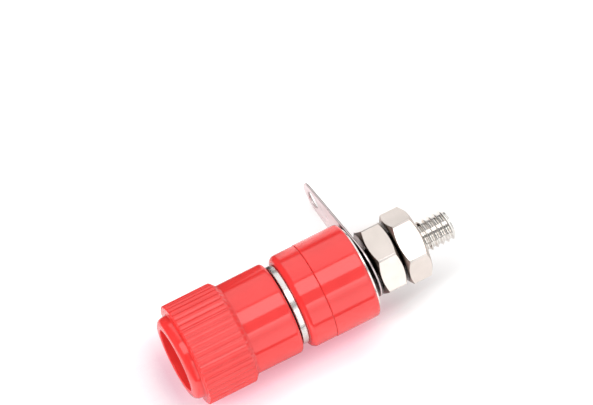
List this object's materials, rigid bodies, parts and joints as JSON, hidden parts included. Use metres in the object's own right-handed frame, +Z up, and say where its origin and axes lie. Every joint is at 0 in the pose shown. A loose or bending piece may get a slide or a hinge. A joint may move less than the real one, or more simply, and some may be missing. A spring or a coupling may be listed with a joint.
{
  "type": "banana socket",
  "caption": "Panel-mounted 4 mm banana socket: ribbed screw cap, split insulator, solder tag and clamping nuts on a threaded stud.",
  "frame": {"origin": "on the axis, on the seam between the two insulators, where the front of the panel lies", "axes": "-Y out of the mouth of the cap, +Y along the stud behind the panel, +Z up; the solder tag points to -X and a little down"},
  "size_m": [0.0197, 0.036, 0.0126],
  "materials": {
    "cap_plastic": "smooth glossy moulding",
    "insulator_plastic": "smooth glossy moulding",
    "turned_metal": "bright nickel plating on turned brass",
    "nut_metal": "bright nickel plating on brass",
    "tag_metal": "tinned stamped brass sheet"
  },
  "bodies": {
    "post": {"post": "turned_metal", "front_insulator": "insulator_plastic"},
    "cap_bush": {"cap_bush": "turned_metal"},
    "cap_shell": {"cap_shell": "cap_plastic"},
    "rear_insulator": {"rear_insulator": "insulator_plastic"},
    "solder_tag": {"solder_tag": "tag_metal"},
    "inner_nut": {"inner_nut": "nut_metal"},
    "outer_nut": {"outer_nut": "nut_metal"}
  },
  "joints": [
    {"name": "cap_travel", "type": "slide", "parent": "post", "child": "cap_bush", "axis": [0, -1, 0], "range_m": [-0.0001, 0.006]},
    {"name": "cap_turn", "type": "hinge", "parent": "cap_bush", "child": "cap_shell", "pos_m": [0, 0, 0], "axis": [0, -1, 0], "range_deg": [-48, 2880]},
    {"name": "grip_travel", "type": "slide", "parent": "post", "child": "rear_insulator", "axis": [0, 1, 0], "range_m": [0, 0.004]},
    {"name": "tag_swivel", "type": "hinge", "parent": "rear_insulator", "child": "solder_tag", "pos_m": [0, 0, 0], "axis": [0, 1, 0], "range_deg": [-180, 180]},
    {"name": "inner_nut_turn", "type": "hinge", "parent": "rear_insulator", "child": "inner_nut", "pos_m": [0, 0, 0], "axis": [0, 1, 0], "range_deg": [0, 2058]},
    {"name": "outer_nut_travel", "type": "slide", "parent": "rear_insulator", "child": "outer_nut", "axis": [0, 1, 0], "range_m": [0, 0.0075]}
  ],
  "couplings": [
    {"joint": "cap_turn", "follows": "cap_travel", "rad_per_m": 8377.5},
    {"joint": "inner_nut_turn", "follows": "grip_travel", "rad_per_m": 8975.9}
  ]
}
